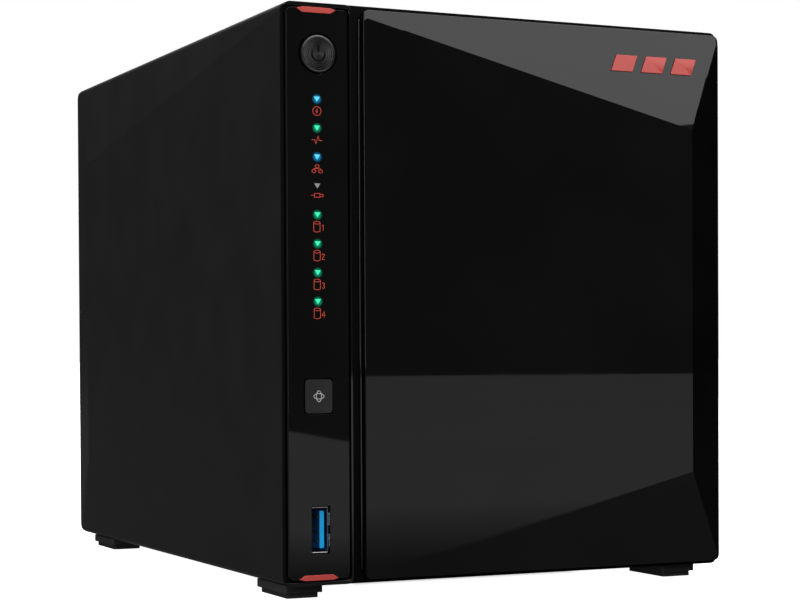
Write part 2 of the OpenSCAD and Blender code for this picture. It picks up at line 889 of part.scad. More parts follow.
module sata_connectors() {
    color(satin_black)
        for (i = [0:bays - 1])
            translate([bay_x(i) - 8, 0, middle_z]) difference() {
                box([-2.6, disk_back + 0.2, -22], [2.6, backplane_y, 22]);
                box([-0.9, disk_back - cut, -20], [0.9, backplane_y - 1.5, -2.5]);
                box([-0.9, disk_back - cut, 0.5], [0.9, backplane_y - 1.5, 20]);
            }
}

module fan_frame() {
    x = fan_mid[0];
    z = fan_mid[1];
    half = fan_side / 2;
    color(satin_black) difference() {
        union() {
            difference() {
                plate([x - half, z - half], [x + half, z + half], 5, fan_front, fan_back);
                rod_y(x, z, fan_duct_r, fan_front - cut, fan_back + cut);
            }
            for (a = [45:90:315])
                translate([x, 0, z]) rotate([0, a, 0])
                    box([fan_hub_r - 2, fan_back - 3, -2], [fan_duct_r + 1, fan_back, 2]);
            rod_y(x, z, fan_hub_r, fan_back - 3, fan_back);
        }
        rod_y(x, z, fan_shaft_r + 0.05, fan_back - 3 - cut, fan_back - 1);
        for (sx = [-1, 1])
            for (sz = [-1, 1])
                rod_y(x + sx * fan_hole, z + sz * fan_hole, 2.15, fan_front - cut, fan_back + cut);
    }
}

module fan_rotor() {
    blade_r = fan_duct_r - 2;
    rotor_back = fan_back - 3.6;
    rotor_front = fan_front + 1.5;
    color(dark_grey) translate([fan_mid[0], 0, fan_mid[1]]) {
        rod_y(0, 0, fan_hub_r, rotor_front, rotor_back);
        rod_y(0, 0, fan_shaft_r, rotor_back, fan_back - 1.2);
        for (i = [0:fan_blades - 1])
            rotate([0, i * 360 / fan_blades, 0]) translate([0, (rotor_front + rotor_back) / 2, 0])
                translate([fan_hub_r - 2, 0, 0]) rotate([38, 0, 0])
                    box([0, -0.9, -12.4], [blade_r - fan_hub_r - 1.6, 0.9, 12.4]);
    }
}

module fan_screws() {
    color(steel)
        for (sx = [-1, 1])
            for (sz = [-1, 1]) {
                x = fan_mid[0] + sx * fan_hole;
                z = fan_mid[1] + sz * fan_hole;
                rod_y(x, z, 2.1, panel_back - 12, panel_back);
                rod_y(x, z, 3.6, panel_back, panel_back + 1.8);
            }
}

module tray(i) {
    x = bay_x(i);
    color(satin_black) difference() {
        union() {
            plate([x - tray_w / 2, tray_z0], [x + tray_w / 2, tray_z1], 1, tray_front, tray_back);
            // Lugs that hold the handle's pin.
            for (side = [-1, 1])
                translate([x + side * (handle_w / 2 + 0.4 + lug_t / 2), 0, 0])
                    box([-lug_t / 2, pin_y - lug_r + 0.3, pin_z - lug_r],
                        [lug_t / 2, tray_front, pin_z + lug_r]);
            // Channels that grip the disk's two long edges.
            rail(x, disk_z0 - rail_t, disk_z0, 1);
            rail(x, disk_z1, disk_z1 + rail_t, -1);
        }
        rod_x(pin_y, pin_z, pin_r + pin_gap, x - tray_w / 2 - cut, x + tray_w / 2 + cut);
        release_plate(x, 0.3, tray_front - cut, tray_back + cut);
        // Room for the release button's flange behind the front plate.
        release_plate(x, release_flange + 0.3, tray_back, tray_back + release_travel + 1.6);
        // Air slots behind the handle.
        for (k = [0:6])
            plate([x - 8, handle_z0 + 8 + 12 * k], [x + 8, handle_z0 + 15 + 12 * k], 1.5,
                  tray_front - cut, tray_back + cut);
    }
}

module rail(x, z0, z1, way) {
    y0 = tray_back;
    lip_end = way > 0 ? z0 + rail_lip_h : z1 - rail_lip_h;
    lip_low = min(z0, lip_end);
    lip_high = max(z1, lip_end);
    box([x - rail_w / 2, y0, z0], [x + rail_w / 2, rail_back, z1]);
    for (lip_x = [x - rail_w / 2, x + rail_w / 2 - rail_lip_t])
        box([lip_x, y0, lip_low], [lip_x + rail_lip_t, rail_back, lip_high]);
}

// A plate with the release button's outline, larger by gap all round.
module release_plate(x, gap, y0, y1) {
    plate([x - release_size[0] / 2 - gap, release_z - release_size[1] / 2 - gap],
          [x + release_size[0] / 2 + gap, release_z + release_size[1] / 2 + gap], 1, y0, y1);
}

module handle(i) {
    x = bay_x(i);
    back_y = handle_front + handle_t;
    color(dark_grey) {
        difference() {
            union() {
                plate([x - handle_w / 2, handle_z0], [x + handle_w / 2, pin_z], 1, handle_front, back_y);
                rod_x(pin_y, pin_z, barrel_r, x - handle_w / 2, x + handle_w / 2);
            }
            // Air slots, above the finger grip.
            for (k = [0:5])
                plate([x - 7, handle_z0 + 21 + 12 * k], [x + 7, handle_z0 + 27 + 12 * k], 1.5,
                      handle_front - cut, back_y + cut);
            // Finger grip: a hollow in the lower end of the lever.
            plate([x - 8, handle_z0 + 3], [x + 8, handle_z0 + 14], 2, handle_front + 1.1, back_y + cut);
        }
        rod_x(pin_y, pin_z, pin_r, x - handle_w / 2 - 0.4 - lug_t, x + handle_w / 2 + 0.4 + lug_t);
    }
}

module release(i) {
    color(accent_red) {
        release_plate(bay_x(i), 0, tray_front - 2.4, tray_back + 0.3);
        release_plate(bay_x(i), release_flange, tray_back + 0.3, tray_back + 1.3);
    }
}

module disk(i) {
    x = bay_x(i);
    color(steel) difference() {
        box([x - disk_t / 2, disk_front, disk_z0], [x + disk_t / 2, disk_back, disk_z1]);
        // Recess for the circuit board on the left face.
        box([x - disk_t / 2 - cut, disk_front + 6, disk_z0 + 8],
            [x - disk_t / 2 + 1.2, disk_back - 4, disk_z1 - 22]);
        // Recess for the plugs, open to the back.
        box([x - disk_t / 2 + 1.6, disk_back - 5, middle_z - 22.6],
            [x - disk_t / 2 + 9, disk_back + cut, middle_z + 22.6]);
    }
}

module tray_1() { tray(0); }
module tray_2() { tray(1); }
module tray_3() { tray(2); }
module tray_4() { tray(3); }
module handle_1() { handle(0); }
module handle_2() { handle(1); }
module handle_3() { handle(2); }
module handle_4() { handle(3); }
module release_1() { release(0); }
module release_2() { release(1); }
module release_3() { release(2); }
module release_4() { release(3); }
module disk_1() { disk(0); }
module disk_2() { disk(1); }
module disk_3() { disk(2); }
module disk_4() { disk(3); }

outer_cover();
base_plate();
rear_panel();
fan_grille();
front_bezel();
control_fascia();
accent_top();
accent_bottom();
front_door();
door_badge();
door_magnets();
strike_plates();
foot_front_left();
foot_front_right();
foot_back_left();
foot_back_right();
power_button();
backup_button();
reset_button();
front_board();
lamps_blue();
lamps_green();
lamp_usb();
front_usb_shell();
front_usb_tongue();
cage_left_wall();
cage_right_wall();
cage_floor();
cage_roof();
backplane_board();
sata_connectors();
main_board();
board_posts();
heat_sink();
clock_battery();
network_jack();
rear_usb_shells();
rear_usb_tongues();
power_inlet();
fan_frame();
fan_rotor();
fan_screws();
cover_screws();
inner_screws();
tray_1();
tray_2();
tray_3();
tray_4();
handle_1();
handle_2();
handle_3();
handle_4();
release_1();
release_2();
release_3();
release_4();
disk_1();
disk_2();
disk_3();
disk_4();
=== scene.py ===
import json
import math

import bmesh
import bpy
from mathutils import Matrix, Vector


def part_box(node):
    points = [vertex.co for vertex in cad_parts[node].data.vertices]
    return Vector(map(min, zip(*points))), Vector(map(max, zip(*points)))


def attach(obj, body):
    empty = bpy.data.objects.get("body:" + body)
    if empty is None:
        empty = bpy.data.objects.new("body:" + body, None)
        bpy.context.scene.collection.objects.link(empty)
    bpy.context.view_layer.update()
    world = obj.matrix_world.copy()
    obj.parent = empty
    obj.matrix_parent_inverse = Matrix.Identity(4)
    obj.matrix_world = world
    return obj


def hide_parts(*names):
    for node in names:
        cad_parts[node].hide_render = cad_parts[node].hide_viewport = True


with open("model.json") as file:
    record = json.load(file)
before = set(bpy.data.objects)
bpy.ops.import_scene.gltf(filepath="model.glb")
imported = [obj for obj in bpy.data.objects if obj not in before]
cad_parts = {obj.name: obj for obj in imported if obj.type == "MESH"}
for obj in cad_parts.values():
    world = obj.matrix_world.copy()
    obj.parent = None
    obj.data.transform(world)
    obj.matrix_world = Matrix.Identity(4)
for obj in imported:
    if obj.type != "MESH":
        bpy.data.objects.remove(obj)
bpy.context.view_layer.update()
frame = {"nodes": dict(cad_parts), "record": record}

MM = 0.001
NODES = frame["nodes"]
BAYS = 4

# Places that the CAD nodes give, in metres: the fascia's face, which looks to -Y, and the case's corners.
FACE_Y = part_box("control_fascia")[0].y
CASE_LOW, CASE_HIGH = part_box("outer_cover")

# A USB tongue: how far right of its socket's middle it sits, half its thickness, and its height.
TONGUE_OFFSET = 1.1 * MM
TONGUE_HALF = 0.7 * MM
TONGUE_H = 11.1 * MM
# The lamps from the top one down: power, status, network, USB, and then one for each disk.
LAMPS = 8
BLUE_LAMPS = (0, 2)
USB_LAMP = 3
DISK_LAMPS = range(4, LAMPS)
# How far the light that the fascia scatters reaches from a lamp's middle.
HALO_R = 1.6 * MM
# Edges sharper than this stay crisp or get a round.
SHARP_ANGLE = math.radians(35)

# Glow of the floor that the camera sees, and of the floor that the case mirrors.
FLOOR_LIFT = 1.0
FLOOR_GLOW = 0.53
# The part of the seen floor that doesn't glow, under the middle of the case, a patch of painted shade: half
# its size along X and Y.
PAINTED_SHADE_HALF_X = 0.037
PAINTED_SHADE_HALF_Y = 0.07
# How bright the mirrored floor is close to the case and to its left, for 1 far ahead of it: the painted
# shadow of the case.
FLOOR_NEAR = 0.2
FLOOR_LEFT = 0.45
# Distances ahead of the case between which its painted shadow ends, and ratios of sideways to forwards
# between which the painted shadow darkens the floor to the right of the case, and lifts from its left on.
FLOOR_PAINTED_SHADOW = (0.09, 0.34)
FLOOR_RIGHT_TURN = (0.8, 1.2)
FLOOR_LEFT_TURN = (-0.1, 0.3)
# Half the side of the mirrored floor and of the seen one.
FLOOR_REACH = 7.1
SEEN_REACH = 60.0
# The mirrored floor lies this far below the seen one.
MIRROR_DROP = 0.5 * MM
# Light of the room round the object, and what is added to it straight behind the object and above it.
ROOM_BASE = 0.07
ROOM_BEHIND = -0.05
ROOM_ABOVE = 0.6

# Each softbox: its name, place, aim, width and height, and radiance.
SOFTBOXES = (
    ("softbox_door", (0.55, -1.35, 0.82), (0, -0.1, 0.16), (1.2, 0.44), 2.0),
    ("softbox_left", (-1.85, -0.95, 0.5), (0, 0, 0.12), (1.0, 0.9), 4.5),
    ("softbox_back", (1.0, 1.9, 0.9), (0, 0.1, 0.1), (1.2, 1.2), 2.5),
    ("softbox_right", (2.1, 0.5, 0.6), (0, 0, 0.1), (1.2, 0.9), 2.2),
    ("softbox_top", (0, 0.2, 2.2), (0, 0, 0), (3.0, 3.0), 2.2),
)

# The camera's angles in degrees, its place in metres, its lens in millimetres and its shift.
CAMERA_YAW = 24.96
CAMERA_PITCH = -0.957
CAMERA_ROLL = 0.287
CAMERA_PLACE = (-0.29034, -0.64731, 0.07034)
CAMERA_LENS = 90.49
CAMERA_SHIFT_Y = 0.1149


def middle(node):
    """The middle of a CAD node's box."""
    low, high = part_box(node)
    return (low + high) / 2


# ---------------------------------------------------------------- material parts

def new_material(name):
    """A material with a Principled shader, as (material, node tree, shader)."""
    material = bpy.data.materials.new(name)
    material.use_nodes = True
    tree = material.node_tree
    return material, tree, tree.nodes["Principled BSDF"]


def object_coordinates(tree, stretch=(1, 1, 1)):
    """Object coordinates in metres, stretched along each axis."""
    source = tree.nodes.new("ShaderNodeTexCoord")
    mapping = tree.nodes.new("ShaderNodeMapping")
    mapping.inputs["Scale"].default_value = stretch
    tree.links.new(source.outputs["Object"], mapping.inputs["Vector"])
    return mapping.outputs["Vector"]


def noise(tree, vector, size, detail=3.0):
    """Noise whose features measure about size metres."""
    node = tree.nodes.new("ShaderNodeTexNoise")
    node.inputs["Scale"].default_value = 1 / size
    node.inputs["Detail"].default_value = detail
    tree.links.new(vector, node.inputs["Vector"])
    return node.outputs["Fac"]


def ramp(tree, factor, dark, light, low=0.35, high=0.65):
    """A colour ramp between two colours."""
    node = tree.nodes.new("ShaderNodeValToRGB")
    node.color_ramp.elements[0].position = low
    node.color_ramp.elements[0].color = (*dark, 1)
    node.color_ramp.elements[1].position = high
    node.color_ramp.elements[1].color = (*light, 1)
    tree.links.new(factor, node.inputs["Fac"])
    return node.outputs["Color"]


def to_range(tree, value, low, high, from_low=0.3, from_high=0.7):
    """Maps a value to a range of numbers."""
    node = tree.nodes.new("ShaderNodeMapRange")
    node.inputs["From Min"].default_value = from_low
    node.inputs["From Max"].default_value = from_high
    node.inputs["To Min"].default_value = low
    node.inputs["To Max"].default_value = high
    tree.links.new(value, node.inputs["Value"])
    return node.outputs["Result"]


def math_node(tree, operation, first, second):
    """The result of a Math node on two sockets, or on a socket and a number."""
    node = tree.nodes.new("ShaderNodeMath")
    node.operation = operation
    for socket, value in zip(node.inputs, (first, second)):
        if isinstance(value, (int, float)):
            socket.default_value = value
        else:
            tree.links.new(value, socket)
    return node.outputs["Value"]


def add_bump(tree, shader, height, depth):
    """Bump of the given depth in metres."""
    node = tree.nodes.new("ShaderNodeBump")
    node.inputs["Strength"].default_value = 1.0
    node.inputs["Distance"].default_value = depth
    tree.links.new(height, node.inputs["Height"])
    tree.links.new(node.outputs["Normal"], shader.inputs["Normal"])


def grey(value):
    return (value, value, value)


def surface(name, colours, rough, grain, depth, patch=0.03, stretch=(1, 1, 1), **constants):
    """A surface whose colour and gloss drift in patches and whose grain is a fine bump.

    colours is (dark, light) and rough is (low, high); grain, depth and patch are in metres.
    constants are Principled sockets that are the same all over.
    """
    material, tree, shader = new_material(name)
    vector = object_coordinates(tree, stretch)
    drift = noise(tree, vector, patch)
    tree.links.new(ramp(tree, drift, *colours), shader.inputs["Base Color"])
    tree.links.new(to_range(tree, drift, *rough), shader.inputs["Roughness"])
    add_bump(tree, shader, noise(tree, vector, grain, detail=2.0), depth)
    for socket, value in constants.items():
        shader.inputs[socket.replace("_", " ")].default_value = value
    return material


# ---------------------------------------------------------------- materials

def gloss_black():
    """Polished black plastic with the faint drift of a moulded face."""
    return surface("gloss_black", (grey(0.0028), grey(0.0045)), (0.008, 0.02), 0.006, 0.0000003, patch=0.05,
                   Specular_IOR_Level=0.42)


def fascia_gloss():
    """The fascia's polished face. Its gloss leans and twists, so only its lower part mirrors the floor."""
    # Slope of the face, and how much it grows for each metre to the right.
    lean = 0.0176
    twist = 0.185
    ripple_depth = 0.0000004
    material, tree, shader = new_material("fascia_gloss")
    vector = object_coordinates(tree)
    split = tree.nodes.new("ShaderNodeSeparateXYZ")
    tree.links.new(vector, split.inputs["Vector"])
    across = math_node(tree, "SUBTRACT", split.outputs["X"], middle("control_fascia").x)
    tilt = math_node(tree, "ADD", math_node(tree, "MULTIPLY", across, twist), lean)
    slope = math_node(tree, "MULTIPLY", math_node(tree, "MULTIPLY", split.outputs["Z"], tilt), -1.0)
    ripple = math_node(tree, "MULTIPLY", noise(tree, vector, 0.006), ripple_depth)
    add_bump(tree, shader, math_node(tree, "ADD", slope, ripple), 1.0)
    drift = noise(tree, vector, 0.04)
    tree.links.new(ramp(tree, drift, grey(0.003), grey(0.0045)), shader.inputs["Base Color"])
    tree.links.new(to_range(tree, drift, 0.01, 0.025), shader.inputs["Roughness"])
    shader.inputs["Specular IOR Level"].default_value = 0.45
    return material


def bezel_black():
    """Polished plastic whose recessed face, round the door, is rough and reflects little: painted shade that
    keeps the recess dark.
    """
    material, tree, shader = new_material("bezel_black")
    vector = object_coordinates(tree)
    split = tree.nodes.new("ShaderNodeSeparateXYZ")
    tree.links.new(vector, split.inputs["Vector"])
    # The rim and the bead lie in front of the first of these two, and the recessed face behind the other.
    raised_back = FACE_Y + 1.5 * MM
    recess_front = FACE_Y + 1.9 * MM
    raised = to_range(tree, split.outputs["Y"], 1, 0, raised_back, recess_front)
    drift = noise(tree, vector, 0.04)
    tree.links.new(ramp(tree, drift, grey(0.0025), grey(0.004)), shader.inputs["Base Color"])
    # Rougher in the recess; its low specular level there is painted shade.
    tree.links.new(to_range(tree, raised, 0.45, 0.03, 0, 1), shader.inputs["Roughness"])
    tree.links.new(to_range(tree, raised, 0.06, 0.8, 0, 1), shader.inputs["Specular IOR Level"])
    add_bump(tree, shader, noise(tree, vector, 0.006), 0.0000003)
    return material


def satin_black():
    """Moulded black plastic with a fine spark-eroded grain."""
    return surface("satin_black", (grey(0.011), grey(0.0135)), (0.3, 0.36), 0.0005, 0.000006,
                   patch=0.02, Specular_IOR_Level=0.3)


def grey_paint():
    """Powder-coated sheet steel."""
    return surface("grey_paint", (grey(0.045), grey(0.06)), (0.42, 0.55), 0.0006, 0.00002, patch=0.015)


def zinc_sheet():
    """Zinc-plated sheet steel, rolled along Y."""
    return surface("zinc_sheet", (grey(0.42), grey(0.6)), (0.24, 0.4), 0.0006, 0.000008,
                   patch=0.012, stretch=(1, 0.08, 1), Metallic=1.0)


def rubber():
    return surface("rubber", (grey(0.012), grey(0.02)), (0.6, 0.75), 0.0004, 0.00003)


def red_plastic():
    return surface("red_plastic", ((0.72, 0.085, 0.075), (0.8, 0.11, 0.09)), (0.22, 0.32), 0.0008, 0.000004)


def nickel():
    return surface("nickel", (grey(0.6), grey(0.75)), (0.14, 0.26), 0.001, 0.000004, Metallic=1.0)


def gold():
    return surface("gold", ((0.75, 0.48, 0.14), (0.85, 0.58, 0.2)), (0.2, 0.3), 0.0006, 0.000003,
                   patch=0.003, Metallic=1.0)


def aluminium():
    return surface("aluminium", (grey(0.5), grey(0.64)), (0.3, 0.45), 0.0012, 0.00001, Metallic=1.0)


def blue_plastic():
    return surface("blue_plastic", ((0.003, 0.12, 0.42), (0.006, 0.18, 0.55)), (0.3, 0.4), 0.0006, 0.000006,
                   patch=0.004)


def painted_lit_blue_plastic():
    """The end of a USB tongue: a lighter copy of the blue plastic with a weak glow, painted light that stands
    for the light getting into the socket's mouth.
    """
    colours = ((0.005, 0.36, 0.8), (0.01, 0.44, 0.9))
    return surface("painted_lit_blue_plastic", colours, (0.3, 0.4), 0.0006, 0.000006, patch=0.002,
                   Emission_Color=(0.01, 0.4, 0.85, 1), Emission_Strength=0.3)


def grey_plastic():
    return surface("grey_plastic", (grey(0.021), grey(0.028)), (0.34, 0.42), 0.0004, 0.000008,
                   patch=0.01, Specular_IOR_Level=0.4)


def chip_epoxy():
    return surface("chip_epoxy", (grey(0.014), grey(0.022)), (0.4, 0.5), 0.0003, 0.000006, patch=0.004)


def label_paper():
    return surface("label_paper", (grey(0.68), grey(0.74)), (0.45, 0.55), 0.0006, 0.000004, patch=0.01)


def printed_ink(name, dark, light, glow):
    """Ink of a fine screen print, slightly uneven. A weak glow, painted light, keeps its thin lines bright.
    """
    return surface(name, (dark, light), (0.4, 0.55), 0.0002, 0.000002, patch=0.0008,
                   Emission_Color=(*light, 1), Emission_Strength=glow)


def turned_black():
    """Black metal turned on a lathe: its gloss is drawn out along the rings, and light and dark rings in its
    colour are painted sheen of the grooves.
    """
    material, tree, shader = new_material("turned_black")
    vector = object_coordinates(tree)
    drift = noise(tree, vector, 0.002)
    ring_pitch = 0.6 * MM
    # The wave texture turns its phase by 20 radians for each unit of scaled distance.
    painted_ring_sheen = tree.nodes.new("ShaderNodeTexWave")
    painted_ring_sheen.wave_type = "RINGS"
    painted_ring_sheen.rings_direction = "Y"
    painted_ring_sheen.inputs["Scale"].default_value = math.tau / (20 * ring_pitch)
    painted_ring_sheen.inputs["Distortion"].default_value = 0.4
    tree.links.new(vector, painted_ring_sheen.inputs["Vector"])
    # The rings' light and dark bands are painted sheen, not the metal's own colour.
    colour = ramp(tree, painted_ring_sheen.outputs["Fac"], grey(0.02), grey(0.17), 0.2, 0.8)
    tree.links.new(colour, shader.inputs["Base Color"])
    tree.links.new(to_range(tree, drift, 0.2, 0.28), shader.inputs["Roughness"])
    tangent = tree.nodes.new("ShaderNodeTangent")
    tangent.direction_type = "RADIAL"
    tangent.axis = "Y"
    tree.links.new(tangent.outputs["Tangent"], shader.inputs["Tangent"])
    shader.inputs["Metallic"].default_value = 1.0
    shader.inputs["Anisotropic"].default_value = 0.6
    return material


def circuit_board():
    """Solder mask over copper tracks: fine blocks of two greens."""
    material, tree, shader = new_material("circuit_board")
    vector = object_coordinates(tree)
    brick = tree.nodes.new("ShaderNodeTexBrick")
    brick.inputs["Scale"].default_value = 260
    brick.inputs["Color1"].default_value = (0.006, 0.07, 0.025, 1)
    brick.inputs["Color2"].default_value = (0.008, 0.09, 0.035, 1)
    brick.inputs["Mortar"].default_value = (0.015, 0.14, 0.06, 1)
    tree.links.new(vector, brick.inputs["Vector"])
    tree.links.new(brick.outputs["Color"], shader.inputs["Base Color"])
    tree.links.new(to_range(tree, noise(tree, vector, 0.01), 0.22, 0.34), shader.inputs["Roughness"])
    add_bump(tree, shader, brick.outputs["Fac"], 0.00002)
    return material


def lamp_lens(name, edge, core, strength):
    """A lit lens whose light is a little uneven."""
    material, tree, shader = new_material(name)
    drift = noise(tree, object_coordinates(tree), 0.001)
    colour = ramp(tree, drift, edge, core)
    tree.links.new(colour, shader.inputs["Base Color"])
    tree.links.new(colour, shader.inputs["Emission Color"])
    tree.links.new(to_range(tree, drift, 0.2, 0.3), shader.inputs["Roughness"])
    shader.inputs["Emission Strength"].default_value = strength
    return material


def lamp_halo(name, colour, strength):
    """Light that the smoked face scatters round a lamp: it fades to nothing at the halo's rim."""
    material, tree, shader = new_material(name)
    fade = tree.nodes.new("ShaderNodeTexGradient")
    fade.gradient_type = "SPHERICAL"
    reach = 1 / HALO_R
    tree.links.new(object_coordinates(tree, (reach, reach, reach)), fade.inputs["Vector"])
    soft = to_range(tree, fade.outputs["Fac"], 0, 0.9, 0.0, 0.62)
    tree.links.new(soft, shader.inputs["Alpha"])
    tree.links.new(ramp(tree, fade.outputs["Fac"], tuple(0.5 * c for c in colour), colour, 0.1, 0.8),
                   shader.inputs["Emission Color"])
    tree.links.new(to_range(tree, noise(tree, object_coordinates(tree), 0.001), 0.2, 0.3),
                   shader.inputs["Roughness"])
    shader.inputs["Base Color"].default_value = (0, 0, 0, 1)
    shader.inputs["Emission Strength"].default_value = strength
    return material


GLOSS = gloss_black()
FASCIA_GLOSS = fascia_gloss()
BEZEL_BLACK = bezel_black()
SATIN = satin_black()
PAINT = grey_paint()
ZINC = zinc_sheet()
RUBBER = rubber()
RED = red_plastic()
NICKEL = nickel()
GOLD = gold()
ALUMINIUM = aluminium()
BLUE_PLASTIC = blue_plastic()
GREY_PLASTIC = grey_plastic()
BOARD = circuit_board()
CHIP = chip_epoxy()
PAPER = label_paper()
TURNED = turned_black()
PAINTED_LIT_BLUE = painted_lit_blue_plastic()
RED_INK = printed_ink("red_ink", (0.72, 0.07, 0.04), (0.85, 0.1, 0.055), 0.3)
WHITE_INK = printed_ink("white_ink", grey(0.75), grey(0.85), 0.1)
BLUE_LAMP = lamp_lens("blue_lamp", (0.1, 0.62, 1.0), (0.14, 0.7, 1.0), 0.6)
GREEN_LAMP = lamp_lens("green_lamp", (0.04, 0.85, 0.45), (0.06, 0.95, 0.52), 0.6)
# The clear lenses glow though the USB lamp isn't lit: painted light that makes them look pale.
CLEAR_LAMP = lamp_lens("clear_lamp", grey(0.24), grey(0.3), 0.45)
BLUE_HALO = lamp_halo("blue_halo", (0.0, 0.28, 0.6), 1.0)
GREEN_HALO = lamp_halo("green_halo", (0.0, 0.4, 0.19), 1.0)

FINISH = {
    "satin_black_plastic": SATIN,
    "gloss_black_plastic": GLOSS,
    "grey_painted_steel": PAINT,
    "zinc_steel": ZINC,
    "rubber": RUBBER,
    "red_plastic": RED,
    "grey_button_plastic": GREY_PLASTIC,
    "blue_lamp": BLUE_LAMP,
    "green_lamp": GREEN_LAMP,
    "clear_lamp": CLEAR_LAMP,
    "nickel": NICKEL,
    "blue_plastic": BLUE_PLASTIC,
    "circuit_board": BOARD,
    "aluminium": ALUMINIUM,
}


def set_material(thing, material):
    """Puts one material in all of a CAD node's slots."""
    mesh = thing.data
    if not mesh.materials:
        mesh.materials.append(material)
    for index in range(len(mesh.materials)):
        mesh.materials[index] = material


def finish_nodes():
    """Gives each CAD node the material of its slot in the record, and two nodes one of their own."""
    for part in frame["record"]["subparts"]:
        set_material(NODES[part["node"]], FINISH[part["material_slot"]])
    set_material(NODES["control_fascia"], FASCIA_GLOSS)
    set_material(NODES["front_bezel"], BEZEL_BLACK)


def round_edges(width_mm, *names, clamp=True):
    """A small round on every sharp edge of these nodes, so that their edges catch the light.

    Without the clamp a round stays full width beside short edges, so it has to be narrower than the gaps.
    """
    for name in names:
        thing = NODES[name]
        weld = thing.modifiers.new("weld", "WELD")
        weld.merge_threshold = 0.001 * MM
        bevel = thing.modifiers.new("edge_round", "BEVEL")
        bevel.width = width_mm * MM
        bevel.segments = 3
        bevel.use_clamp_overlap = clamp
        bevel.limit_method = "ANGLE"
        bevel.angle_limit = SHARP_ANGLE
        bevel.harden_normals = True


# ---------------------------------------------------------------- mesh parts

def add_piece(name, mesh, material, body, place=(0, 0, 0)):
    """A mesh as a piece of the object that rides a body. place is where the mesh's own origin goes."""
    thing = bpy.data.objects.new(name, mesh)
    thing.location = place
    bpy.context.scene.collection.objects.link(thing)
    mesh.materials.append(material)
    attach(thing, body)
    return thing


def mesh_of(name, build):
    """A mesh that build(bmesh) fills in."""
    mesh = bpy.data.meshes.new(name)
    work = bmesh.new()
    build(work)
    bmesh.ops.recalc_face_normals(work, faces=work.faces)
    work.to_mesh(mesh)
    work.free()
    return mesh


def add_box(work, low, high):
    corners = [(x, y, z) for x in (low[0], high[0]) for y in (low[1], high[1]) for z in (low[2], high[2])]
    points = [work.verts.new(corner) for corner in corners]
    for face in ((0, 1, 3, 2), (4, 6, 7, 5), (0, 4, 5, 1), (2, 3, 7, 6), (0, 2, 6, 4), (1, 5, 7, 3)):
        work.faces.new([points[i] for i in face])


def boxes_piece(name, boxes, round_mm, material, body):
    """Blocks with rounded edges, as one piece."""
    def build(work):
        for low, high in boxes:
            add_box(work, low, high)
    thing = add_piece(name, mesh_of(name, build), material, body)
    bevel = thing.modifiers.new("edge_round", "BEVEL")
    bevel.width = round_mm * MM
    bevel.segments = 2
    return thing


def add_ribbon(work, path, closed, width, y_face, lift):
    """A drawn line: a flat ribbon along path, a list of (x, z) in metres, on a face that looks to -Y."""
    count = len(path)
    sides = []
    for i, point in enumerate(path):
        before = path[i - 1] if closed or i > 0 else None
        after = path[(i + 1) % count] if closed or i < count - 1 else None
        ways = []
        if before is not None:
            ways.append((Vector(point) - Vector(before)).normalized())
        if after is not None:
            ways.append((Vector(after) - Vector(point)).normalized())
        way = (ways[0] + ways[-1]).normalized()
        square = Vector((-way.y, way.x))
        reach = width / 2 / max(0.4, abs(way.dot(ways[0])))
        for sign in (-1, 1):
            spot = Vector(point) + square * reach * sign
            sides.append([work.verts.new((spot.x, y_face - depth, spot.y)) for depth in (0, lift)])
    steps = count if closed else count - 1
    for i in range(steps):
        j = (i + 1) % count
        low, high = sides[2 * i], sides[2 * i + 1]
        next_low, next_high = sides[2 * j], sides[2 * j + 1]
        work.faces.new((low[1], next_low[1], next_high[1], high[1]))
        work.faces.new((low[0], next_low[0], next_low[1], low[1]))
        work.faces.new((high[1], next_high[1], next_high[0], high[0]))


def ring(x, z, half_w, half_h, start=0, end=360, steps=24):
    """Points of an ellipse or of an arc of one."""
    closed = end - start == 360
    count = steps if closed else steps + 1
    angles = [math.radians(start + (end - start) * i / steps) for i in range(count)]
    return [(x + half_w * math.cos(a), z + half_h * math.sin(a)) for a in angles]


def print_piece(name, drawings, width_mm, y_face, material, body):
    """Printed lines. drawings is a list of (middle x, middle z, [(path in mm, closed), ...])."""
    def build(work):
        for x, z, paths in drawings:
            for path, closed in paths:
                places = [(x + u * MM, z + v * MM) for u, v in path]
                add_ribbon(work, places, closed, width_mm * MM, y_face, 0.03 * MM)
    return add_piece(name, mesh_of(name, build), material, body)


# ---------------------------------------------------------------- control strip

# Drawings in millimetres about their middles: lists of (path, closed).
POWER_SIGN = [
    (ring(0, 0, 1.3, 1.3), True),
    ([(0.3, 0.75), (-0.35, -0.05), (0.3, -0.05), (-0.25, -0.75)], False),
]
PULSE_SIGN = [([(-1.7, 0), (-0.8, 0), (-0.35, -1.1), (0.3, 1.1), (0.75, -0.15), (1.7, -0.15)], False)]
NETWORK_SIGN = [
    (ring(0, 0.75, 0.65, 0.45, steps=12), True),
    (ring(-1.05, -0.7, 0.65, 0.45, steps=12), True),
    (ring(1.05, -0.7, 0.65, 0.45, steps=12), True),
    ([(-1.05, -0.25), (-1.05, 0.05), (1.05, 0.05), (1.05, -0.25)], False),
    ([(0, 0.3), (0, 0.05)], False),
]
PLUG_SIGN = [
    ([(-0.9, -0.55), (0.8, -0.55), (0.8, 0.55), (-0.9, 0.55)], True),
    ([(0.8, -0.33), (1.8, -0.33), (1.8, 0.33), (0.8, 0.33)], True),
    ([(-0.9, 0), (-2.0, 0)], False),
]
DISK_SIGN = [
    (ring(0, 1.15, 1.0, 0.4, steps=16), True),
    ([(-1.0, 1.15), *ring(0, -1.15, 1.0, 0.4, 180, 360, 10), (1.0, 1.15)], False),
]
